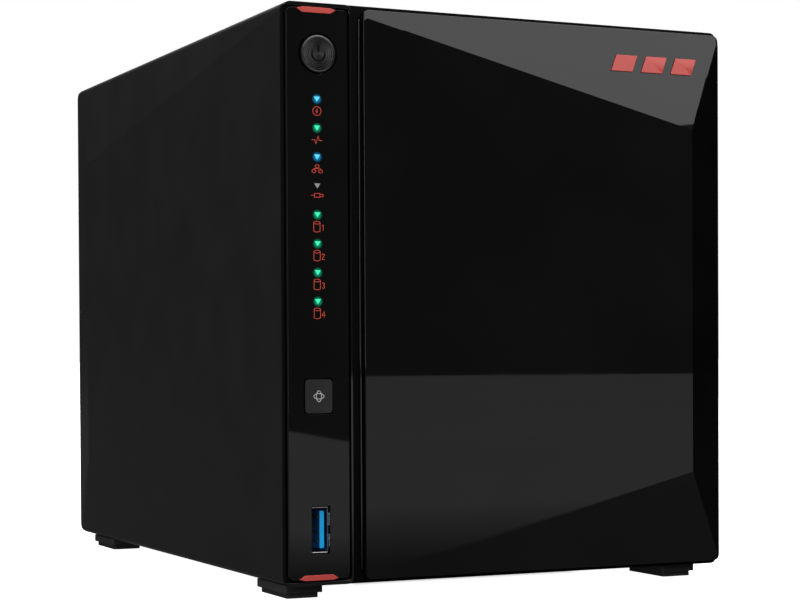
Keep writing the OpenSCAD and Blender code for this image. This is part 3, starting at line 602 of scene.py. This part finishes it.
DIGITS = [
    [([(-0.3, 0.45), (0.05, 0.8), (0.05, -0.8)], False)],
    [([(-0.42, 0.45), (-0.2, 0.8), (0.2, 0.8), (0.4, 0.45), (-0.42, -0.8), (0.45, -0.8)], False)],
    [([(-0.4, 0.7), (0.1, 0.8), (0.4, 0.45), (0, 0.05), (0.42, -0.35), (0.1, -0.8), (-0.42, -0.7)], False)],
    [([(0.22, -0.8), (0.22, 0.8), (-0.45, -0.3), (0.5, -0.3)], False)],
]
RINGS_SIGN = [
    (ring(0, 0, 0.8, 1.6), True),
    (ring(0, 0, 1.6, 0.8), True),
]


def lamp_spots():
    """Middles of the eight lamps, from the top one down, as (x, z)."""
    blue_low, blue_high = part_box("lamps_blue")
    green_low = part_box("lamps_green")[0]
    x = (blue_low.x + blue_high.x) / 2
    # The lenses' boxes reach half a lens past the first and the last lamp's middle.
    span = blue_high.z - green_low.z
    lens_h = 1.8 * MM
    top_z = blue_high.z - lens_h / 2
    pitch = (span - lens_h) / (LAMPS - 1)
    return [(x, top_z - i * pitch) for i in range(LAMPS)]


def control_prints():
    """The red pictograms below the lamps, with the bay numbers."""
    drop = 3.45 * MM
    usb_drop = 2.75 * MM
    disk_shift = 0.2 * MM
    digit_step = 1.95 * MM
    digit_drop = 0.3 * MM
    spots = lamp_spots()
    drawings = []
    for (x, z), sign in zip(spots, (POWER_SIGN, PULSE_SIGN, NETWORK_SIGN)):
        drawings.append((x, z - drop, sign))
    x, z = spots[USB_LAMP]
    drawings.append((x, z - usb_drop, PLUG_SIGN))
    for lamp, digit in zip(DISK_LAMPS, DIGITS):
        x, z = spots[lamp]
        drawings.append((x - disk_shift, z - drop, DISK_SIGN))
        drawings.append((x - disk_shift + digit_step, z - drop - digit_drop, digit))
    print_piece("control_prints", drawings, 0.13, FACE_Y, RED_INK, "case")


def lamp_halos():
    """A soft disc of scattered light round each lit lamp. The USB lamp isn't lit."""
    lift = 0.02 * MM
    steps = 32

    def disc(work):
        angles = [math.tau * k / steps for k in range(steps)]
        hub = work.verts.new((0, 0, 0))
        rim = [work.verts.new((HALO_R * math.cos(a), 0, HALO_R * math.sin(a))) for a in angles]
        for k in range(steps):
            work.faces.new((hub, rim[k], rim[(k + 1) % steps]))

    for i, (x, z) in enumerate(lamp_spots()):
        if i == USB_LAMP:
            continue
        name = f"lamp_halo_{i + 1}"
        material, slot = (BLUE_HALO, "blue_lamp") if i in BLUE_LAMPS else (GREEN_HALO, "green_lamp")
        add_piece(name, mesh_of(name, disc), material, "case", (x, FACE_Y - lift, z))


def power_cap():
    """The power button's turned face: fine rings, with a power sign in its middle."""
    low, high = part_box("power_button")
    centre = (low + high) / 2
    margin = 0.35 * MM
    radius = (high.x - low.x) / 2 - margin
    groove = 0.62 * MM
    depth = 0.11 * MM
    sign_lift = 0.24 * MM
    steps = 96
    # Two circles of points for each groove: one at its bottom and one on its ridge.
    count = int(radius / groove) * 2

    def build(work):
        loops = []
        for k in range(1, count + 1):
            r = radius * k / count
            lift = depth * (1 + (k % 2))
            if k == count:
                lift = 0
            angles = [math.tau * s / steps for s in range(steps)]
            loops.append([work.verts.new((r * math.cos(a), -lift, r * math.sin(a))) for a in angles])
        hub = work.verts.new((0, -depth, 0))
        for s in range(steps):
            work.faces.new((hub, loops[0][s], loops[0][(s + 1) % steps]))
        for inner, outer in zip(loops, loops[1:]):
            for s in range(steps):
                work.faces.new((inner[s], outer[s], outer[(s + 1) % steps], inner[(s + 1) % steps]))

    mesh = mesh_of("power_cap", build)
    for face in mesh.polygons:
        face.use_smooth = True
    add_piece("power_cap", mesh, TURNED, "power_key", (centre.x, low.y, centre.z))

    sign = [
        (ring(0, -0.3, 2.0, 2.0, 125, 415, 28), False),
        ([(0, 2.2), (0, 0.4)], False),
    ]
    print_piece("power_sign", [(centre.x, centre.z, sign)], 0.36, low.y - sign_lift, GLOSS, "power_key")


def backup_sign():
    """Two crossed rings printed on the backup button."""
    centre = middle("backup_button")
    front_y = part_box("backup_button")[0].y
    print_piece("backup_sign", [(centre.x, centre.z, RINGS_SIGN)], 0.14, front_y, WHITE_INK, "backup_key")


# ---------------------------------------------------------------- sockets

def front_socket():
    """The two lips and the spring fingers of the front USB socket, and its tongue's end and contacts."""
    low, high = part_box("front_usb_shell")
    centre_z = (low.z + high.z) / 2
    sheet = 0.25 * MM
    lip = 0.35 * MM
    lip_margin = 0.3 * MM
    lip_sink = 0.05 * MM
    finger_flare = 0.3 * MM
    finger_reach = 0.7 * MM
    # Each finger's lower and upper end from the socket's middle, in millimetres.
    fingers = ((-5.05, -1.35), (1.3, 5.0))

    def build(work):
        for z0, z1 in ((low.z, low.z + sheet), (high.z - sheet, high.z)):
            add_box(work, (low.x + lip_margin, low.y - lip, z0), (high.x - lip_margin, low.y + lip_sink, z1))
        for z0, z1 in fingers:
            section = [
                (high.x, low.y), (high.x + finger_flare, low.y - finger_reach),
                (high.x + finger_flare - sheet, low.y - finger_reach), (high.x - sheet, low.y),
            ]
            rows = [[work.verts.new((x, y, centre_z + z * MM)) for x, y in section] for z in (z0, z1)]
            for k in range(len(section)):
                after = (k + 1) % len(section)
                work.faces.new((rows[0][k], rows[0][after], rows[1][after], rows[1][k]))
            work.faces.new(rows[0])
            work.faces.new(rows[1])

    lips = add_piece("front_usb_lips", mesh_of("front_usb_lips", build), NICKEL, "case")
    bevel = lips.modifiers.new("edge_round", "BEVEL")
    bevel.width = 0.08 * MM
    bevel.segments = 2

    tongue_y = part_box("front_usb_tongue")[0].y
    nose_x = (low.x + high.x) / 2 + TONGUE_OFFSET
    nose_z = TONGUE_H / 2 - 0.1 * MM
    nose = ((nose_x - TONGUE_HALF, tongue_y - 0.25 * MM, centre_z - nose_z),
            (nose_x + TONGUE_HALF, tongue_y + 0.1 * MM, centre_z + nose_z))
    # The tongue's end wears the lighter, glowing copy of the blue plastic: painted light.
    boxes_piece("front_usb_nose", [nose], 0.15, PAINTED_LIT_BLUE, "case")
    front_contacts(low, high)


def front_contacts(low, high):
    """Contacts on the front USB tongue's left face. low and high are the shell's corners."""
    face_x = (low.x + high.x) / 2 + TONGUE_OFFSET - TONGUE_HALF
    mid_z = (low.z + high.z) / 2
    sink = 0.02 * MM
    # Each row: heights from the middle, start and end behind the mouth, half height and lift, in millimetres.
    rows = (
        ((-3.5, -1.0, 1.0, 3.5), 2.2, 8.5, 0.45, 0.12),
        ((-4, -2, 0, 2, 4), 1.15, 1.9, 0.3, 0.08),
    )
    boxes = []
    for heights, start, end, half, lift in rows:
        for z in heights:
            boxes.append(((face_x - lift * MM, low.y + start * MM, mid_z + (z - half) * MM),
                          (face_x + sink, low.y + end * MM, mid_z + (z + half) * MM)))
    boxes_piece("front_usb_contacts", boxes, 0.03, GOLD, "case")


def rear_sockets():
    """Tongue ends in the back's two USB sockets, and the network socket's contacts and lamps."""
    shells_low, shells_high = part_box("rear_usb_shells")
    shell_h = 13.5 * MM
    nose_x = (shells_low.x + shells_high.x) / 2 + TONGUE_OFFSET
    back_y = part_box("rear_usb_tongues")[1].y
    nose_z = TONGUE_H / 2 - 0.1 * MM
    noses = [
        ((nose_x - TONGUE_HALF, back_y - 0.1 * MM, z - nose_z),
         (nose_x + TONGUE_HALF, back_y + 0.25 * MM, z + nose_z))
        for z in (shells_low.z + shell_h / 2, shells_high.z - shell_h / 2)
    ]
    # The tongue ends wear the lighter, glowing copy of the blue plastic: painted light.
    boxes_piece("rear_usb_noses", noses, 0.15, PAINTED_LIT_BLUE, "case")

    jack_low, jack_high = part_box("network_jack")
    middle_z = (jack_low.z + jack_high.z) / 2
    wire_count = 8
    wire_pitch = 1.02 * MM
    wire_half = 0.2 * MM
    # Where the wires lie: from the jack's left side, and behind its mouth.
    wire_left, wire_right = jack_low.x + 3.0 * MM, jack_low.x + 3.5 * MM
    wire_back, wire_front = jack_high.y - 9 * MM, jack_high.y - 2.5 * MM
    wires = []
    for i in range(wire_count):
        z = middle_z + (i - (wire_count - 1) / 2) * wire_pitch
        wires.append(((wire_left, wire_back, z - wire_half), (wire_right, wire_front, z + wire_half)))
    boxes_piece("network_contacts", wires, 0.05, GOLD, "case")

    lamp_step = 5.6 * MM
    lamp_half = 1.2 * MM
    lamp_left, lamp_right = jack_low.x + 10.4 * MM, jack_low.x + 12.4 * MM
    lamp_back, lamp_face = jack_high.y - 0.3 * MM, jack_high.y + 0.15 * MM
    lamps = [
        ((lamp_left, lamp_back, middle_z + side * lamp_step - lamp_half),
         (lamp_right, lamp_face, middle_z + side * lamp_step + lamp_half))
        for side in (-1, 1)
    ]
    boxes_piece("network_lamps", lamps, 0.1, CLEAR_LAMP, "case")


# ---------------------------------------------------------------- fan

def fan_rotor():
    """The fan's moulded rotor: a hub with a rounded edge and seven twisted, swept blades."""
    axis = middle("fan_frame")
    low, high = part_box("fan_rotor")
    hub_r = 20 * MM
    tip_r = 53.5 * MM
    front_y = low.y
    back_y = front_y + 19.9 * MM
    blades = 7
    # A blade starts this far inside the hub, and its angle and chord change from root to tip.
    root_sink = 0.6 * MM
    root_pitch, pitch_loss = 44, 16
    root_chord, chord_gain = 21, 9
    camber = 0.09
    sweep = 0.35
    rows, columns = 10, 8

    def blade(work, turn):
        grid = []
        for i in range(rows + 1):
            out = i / rows
            r = hub_r - root_sink + (tip_r - hub_r + root_sink) * out
            pitch = math.radians(root_pitch - pitch_loss * out)
            chord = (root_chord + chord_gain * out) * MM
            row = []
            for j in range(columns + 1):
                along = j / columns - 0.5
                angle = turn + sweep * out ** 2 + along * chord * math.cos(pitch) / r
                bow = camber * chord * (1 - 4 * along ** 2)
                y = (front_y + back_y) / 2 + along * chord * math.sin(pitch) - bow
                row.append(work.verts.new((axis.x + r * math.cos(angle), y, axis.z + r * math.sin(angle))))
            grid.append(row)
        for i in range(rows):
            for j in range(columns):
                work.faces.new((grid[i][j], grid[i + 1][j], grid[i + 1][j + 1], grid[i][j + 1]))

    def all_blades(work):
        for k in range(blades):
            blade(work, math.tau * k / blades)

    def hub(work):
        profile = [
            (0, front_y), (hub_r - 2 * MM, front_y), (hub_r - 0.6 * MM, front_y + 0.6 * MM),
            (hub_r, front_y + 2 * MM), (hub_r, back_y), (hub_r - 1.2 * MM, back_y),
            (hub_r - 1.4 * MM, back_y - 1 * MM), (0, back_y - 1 * MM),
        ]
        shaft_r = 1.5 * MM
        shaft_y = back_y - 1 * MM
        add_turned(work, profile, axis, 64)
        add_turned(work, [(0, shaft_y), (shaft_r, shaft_y), (shaft_r, high.y), (0, high.y)], axis, 24)

    vanes = add_piece("fan_blades", mesh_of("fan_blades", all_blades), GREY_PLASTIC, "rotor")
    thick = vanes.modifiers.new("thickness", "SOLIDIFY")
    thick.thickness = 1.4 * MM
    thick.offset = 0
    body = add_piece("fan_hub", mesh_of("fan_hub", hub), GREY_PLASTIC, "rotor")
    for thing in (vanes, body):
        for face in thing.data.polygons:
            face.use_smooth = True
        smooth_sharp(thing)
    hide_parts("fan_rotor")


def add_turned(work, profile, axis, steps):
    """A form turned about an axis along Y. profile is a list of (radius, y) from end to end."""
    loops = []
    for r, y in profile:
        if r == 0:
            loops.append([work.verts.new((axis.x, y, axis.z))])
            continue
        angles = [math.tau * k / steps for k in range(steps)]
        circle = [(axis.x + r * math.cos(a), y, axis.z + r * math.sin(a)) for a in angles]
        loops.append([work.verts.new(point) for point in circle])
    for inner, outer in zip(loops, loops[1:]):
        for k in range(steps):
            after = (k + 1) % steps
            if len(inner) == 1:
                work.faces.new((inner[0], outer[k], outer[after]))
            elif len(outer) == 1:
                work.faces.new((inner[k], inner[after], outer[0]))
            else:
                work.faces.new((inner[k], outer[k], outer[after], inner[after]))


def smooth_sharp(thing):
    """Keeps sharp edges crisp under smooth shading."""
    split = thing.modifiers.new("edge_split", "EDGE_SPLIT")
    split.split_angle = SHARP_ANGLE


# ---------------------------------------------------------------- trays and disks

def tray_marks():
    """The bay number on each tray's lever, and a locking arrow on each release button."""
    number_scale = 3.2
    number_drop = 11 * MM
    arrow = [([(-1.6, 0.9), (1.6, 0.9), (0, -1.3)], True)]
    for bay, digit in enumerate(DIGITS, start=1):
        low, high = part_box(f"handle_{bay}")
        x = (low.x + high.x) / 2
        large = [([(u * number_scale, v * number_scale) for u, v in path], closed) for path, closed in digit]
        print_piece(f"handle_number_{bay}", [(x, high.z - number_drop, large)], 0.55, low.y, WHITE_INK,
                    f"lever_{bay}")
        button_low, button_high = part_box(f"release_{bay}")
        print_piece(f"release_arrow_{bay}", [(x, (button_low.z + button_high.z) / 2, arrow)], 0.4,
                    button_low.y, WHITE_INK, f"catch_{bay}")


def side_plate(low, high, x_low, x_high, front, back, below, above):
    """A flat block on a disk's side. low and high are the disk's corners; its margins are in millimetres."""
    return ((x_low, low.y + front * MM, low.z + below * MM),
            (x_high, high.y - back * MM, high.z - above * MM))


def screw_heads(name, x, places, body):
    """Recessed screw heads on a face that looks to +X. places are their middles, as (y, z)."""
    steps = 16
    # Height over the face and radius of each step, from the rim inwards, in millimetres.
    profile = ((0.3, 2.2), (0.55, 2.0), (0.55, 0.9), (0.35, 0.8))
    angles = [math.tau * k / steps for k in range(steps)]

    def build(work):
        for y, z in places:
            rims = [
                [work.verts.new((x + lift * MM, y + r * MM * math.cos(a), z + r * MM * math.sin(a)))
                 for a in angles]
                for lift, r in profile
            ]
            for inner, outer in zip(rims, rims[1:]):
                for k in range(steps):
                    after = (k + 1) % steps
                    work.faces.new((inner[k], inner[after], outer[after], outer[k]))
            work.faces.new(rims[-1])

    add_piece(name, mesh_of(name, build), NICKEL, body)


def disk_details():
    """On each disk: a pressed lid with its screws, a plain label, and the circuit board on the other side."""
    screw_edge = 7 * MM
    screw_back = 16 * MM
    board_recess = 1.2 * MM
    # Each chip on the board: y and z from the disk's corner, length and height, in millimetres.
    chip_plan = ((60, 35, 14, 14), (88, 42, 9, 11), (36, 50, 8, 8), (110, 30, 6, 10))
    for bay in range(1, BAYS + 1):
        low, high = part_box(f"disk_{bay}")
        body = f"carrier_{bay}"
        x = high.x
        lid = side_plate(low, high, x - 0.1 * MM, x + 0.35 * MM, front=3, back=12, below=3, above=3)
        boxes_piece(f"disk_lid_{bay}", [lid], 0.25, ZINC, body)
        label = side_plate(low, high, x + 0.3 * MM, x + 0.42 * MM, front=22, back=44, below=12, above=12)
        boxes_piece(f"disk_label_{bay}", [label], 0.05, PAPER, body)
        places = [(y, z) for y in (low.y + screw_edge, (low.y + high.y) / 2, high.y - screw_back)
                  for z in (low.z + screw_edge, high.z - screw_edge)]
        screw_heads(f"disk_screws_{bay}", x, places, body)
        board_x = low.x + board_recess
        board = side_plate(low, high, board_x - 0.7 * MM, board_x, front=8, back=6, below=10, above=24)
        boxes_piece(f"disk_board_{bay}", [board], 0.1, BOARD, body)
        chips = [
            ((board_x - 1.1 * MM, low.y + y * MM, low.z + z * MM),
             (board_x - 0.65 * MM, low.y + (y + length) * MM, low.z + (z + height) * MM))
            for y, z, length, height in chip_plan
        ]
        boxes_piece(f"disk_chips_{bay}", chips, 0.1, CHIP, body)


# ---------------------------------------------------------------- stage and camera

def stage_plane(name, half, height, material):
    """A square of floor under the object, half a side wide on each side of it."""
    mesh = bpy.data.meshes.new(name)
    corners = [(-half, -half, height), (half, -half, height), (half, half, height), (-half, half, height)]
    mesh.from_pydata(corners, [], [(0, 1, 2, 3)])
    plane = bpy.data.objects.new(name, mesh)
    bpy.context.scene.collection.objects.link(plane)
    mesh.materials.append(material)
    return plane


def seen_floor_paint():
    """Bright white floor that burns out to the camera, save for a patch of painted shade under the middle of
    the case, where it doesn't glow.
    """
    paint = surface("seen_floor_paint", (grey(0.8), grey(0.82)), (0.7, 0.8), 0.01, 0.00001, patch=0.5)
    tree = paint.node_tree
    shader = tree.nodes["Principled BSDF"]
    split = tree.nodes.new("ShaderNodeSeparateXYZ")
    tree.links.new(object_coordinates(tree), split.inputs["Vector"])
    # How far out a point lies, for 1 at the edge of the painted shade.
    across = math_node(tree, "DIVIDE", math_node(tree, "ABSOLUTE", split.outputs["X"], 0), PAINTED_SHADE_HALF_X)
    along = math_node(tree, "DIVIDE", math_node(tree, "ABSOLUTE", split.outputs["Y"], 0), PAINTED_SHADE_HALF_Y)
    outside = to_range(tree, math_node(tree, "MAXIMUM", across, along), 0, FLOOR_LIFT, 0.9, 1.1)
    tree.links.new(outside, shader.inputs["Emission Strength"])
    shader.inputs["Emission Color"].default_value = (1, 1, 1, 1)
    return paint


def mirrored_floor_painted_shadow():
    """The floor as the case mirrors it, with a painted shadow of the case: dark close to it and to its right,
    dimmer to its left.
    """
    material, tree, shader = new_material("mirrored_floor_painted_shadow")
    vector = object_coordinates(tree)
    split = tree.nodes.new("ShaderNodeSeparateXYZ")
    tree.links.new(vector, split.inputs["Vector"])
    ahead = math_node(tree, "MULTIPLY", math_node(tree, "SUBTRACT", split.outputs["Y"], FACE_Y), -1.0)
    # This and the side terms below paint the case's shadow into the floor's glow.
    near = to_range(tree, ahead, FLOOR_NEAR, 1.0, *FLOOR_PAINTED_SHADOW)
    depth = math_node(tree, "MAXIMUM", ahead, 0.01)
    x_left = math_node(tree, "SUBTRACT", split.outputs["X"], CASE_LOW.x)
    x_right = math_node(tree, "SUBTRACT", split.outputs["X"], CASE_HIGH.x)
    from_left = math_node(tree, "DIVIDE", x_left, depth)
    from_right = math_node(tree, "DIVIDE", x_right, depth)
    side = math_node(tree, "MULTIPLY", to_range(tree, from_right, 1.0, 0.0, *FLOOR_RIGHT_TURN),
                     to_range(tree, from_left, FLOOR_LEFT, 1.0, *FLOOR_LEFT_TURN))
    drift = to_range(tree, noise(tree, vector, 0.5), 0.97, 1.03)
    light = math_node(tree, "MULTIPLY", math_node(tree, "MULTIPLY", near, side), drift)
    tree.links.new(math_node(tree, "MULTIPLY", light, FLOOR_GLOW), shader.inputs["Emission Strength"])
    tree.links.new(to_range(tree, drift, 0.7, 0.8), shader.inputs["Roughness"])
    shader.inputs["Base Color"].default_value = (0.012, 0.012, 0.012, 1)
    shader.inputs["Specular IOR Level"].default_value = 0.0
    shader.inputs["Emission Color"].default_value = (1, 1, 1, 1)
    return material


def build_floor():
    """Two floors in one place: one for the camera, and one that lights the case and that it mirrors, with a
    painted shadow of the case.
    """
    seen = stage_plane("floor", SEEN_REACH, 0.0, seen_floor_paint())
    seen.visible_glossy = False
    seen.visible_diffuse = False
    mirrored = stage_plane("floor_mirrored", FLOOR_REACH, -MIRROR_DROP, mirrored_floor_painted_shadow())
    mirrored.visible_camera = False
    mirrored.visible_shadow = False


def build_world():
    """White to the camera; to the object, a dim room, darker behind and to the right and bright above."""
    world = bpy.data.worlds.new("studio")
    bpy.context.scene.world = world
    world.use_nodes = True
    tree = world.node_tree
    background = tree.nodes["Background"]
    coordinates = tree.nodes.new("ShaderNodeTexCoord")
    split = tree.nodes.new("ShaderNodeSeparateXYZ")
    tree.links.new(coordinates.outputs["Generated"], split.inputs["Vector"])
    behind = to_range(tree, split.outputs["Y"], 0, ROOM_BEHIND, 0.85, 1.0)
    above = to_range(tree, split.outputs["Z"], 0, ROOM_ABOVE, 0.28, 0.6)
    base = to_range(tree, split.outputs["X"], ROOM_BASE, 0.0, 0.5, 0.8)
    room = math_node(tree, "ADD", math_node(tree, "ADD", behind, above), base)
    path = tree.nodes.new("ShaderNodeLightPath")
    mix = tree.nodes.new("ShaderNodeMix")
    mix.data_type = "FLOAT"
    tree.links.new(path.outputs["Is Camera Ray"], mix.inputs["Factor"])
    tree.links.new(room, mix.inputs["A"])
    mix.inputs["B"].default_value = 1.0
    background.inputs["Color"].default_value = (1, 1, 1, 1)
    tree.links.new(mix.outputs["Result"], background.inputs["Strength"])


def softbox(name, place, aim, size, radiance):
    """A rectangular light of the given size in metres that the camera doesn't see."""
    data = bpy.data.lights.new(name, "AREA")
    data.shape = "RECTANGLE"
    data.size, data.size_y = size
    data.energy = radiance * size[0] * size[1] * math.pi
    light = bpy.data.objects.new(name, data)
    light.location = place
    light.rotation_euler = (Vector(aim) - Vector(place)).to_track_quat("-Z", "Y").to_euler()
    light.visible_camera = False
    bpy.context.scene.collection.objects.link(light)


def build_lights():
    """Softboxes all round the case and above it."""
    for name, place, aim, size, radiance in SOFTBOXES:
        softbox(name, place, aim, size, radiance)


def build_camera():
    """The camera stands to the left of the front, a little below the middle of the case."""
    yaw = math.radians(CAMERA_YAW)
    pitch = math.radians(CAMERA_PITCH)
    roll = math.radians(CAMERA_ROLL)
    right = Vector((math.cos(yaw), -math.sin(yaw), 0))
    forward = Vector((math.sin(yaw) * math.cos(pitch), math.cos(yaw) * math.cos(pitch), math.sin(pitch)))
    down = forward.cross(right)
    tilted_right = math.cos(roll) * right + math.sin(roll) * down
    tilted_down = math.cos(roll) * down - math.sin(roll) * right
    data = bpy.data.cameras.new("camera")
    data.lens = CAMERA_LENS
    data.sensor_width = 36
    data.shift_y = CAMERA_SHIFT_Y
    data.clip_start = 0.01
    camera = bpy.data.objects.new("camera", data)
    rotation = Matrix((tilted_right, -tilted_down, -forward)).transposed()
    camera.matrix_world = Matrix.Translation(CAMERA_PLACE) @ rotation.to_4x4()
    bpy.context.scene.collection.objects.link(camera)
    bpy.context.scene.camera = camera


finish_nodes()
round_edges(0.15, "front_door", clamp=False)
round_edges(0.15, "front_bezel", clamp=False)
round_edges(0.2, "control_fascia")
round_edges(0.3, "backup_button", "outer_cover")
round_edges(0.12, "accent_top", "accent_bottom", "door_badge")
round_edges(0.4, "foot_front_left", "foot_front_right", "foot_back_left", "foot_back_right")
for number in range(1, BAYS + 1):
    round_edges(0.3, f"handle_{number}", f"release_{number}")
    round_edges(0.2, f"tray_{number}")
round_edges(0.4, "fan_frame")
control_prints()
lamp_halos()
power_cap()
backup_sign()
front_socket()
rear_sockets()
fan_rotor()
tray_marks()
disk_details()
build_floor()
build_world()
build_lights()
build_camera()
bpy.context.scene.view_settings.view_transform = "Standard"
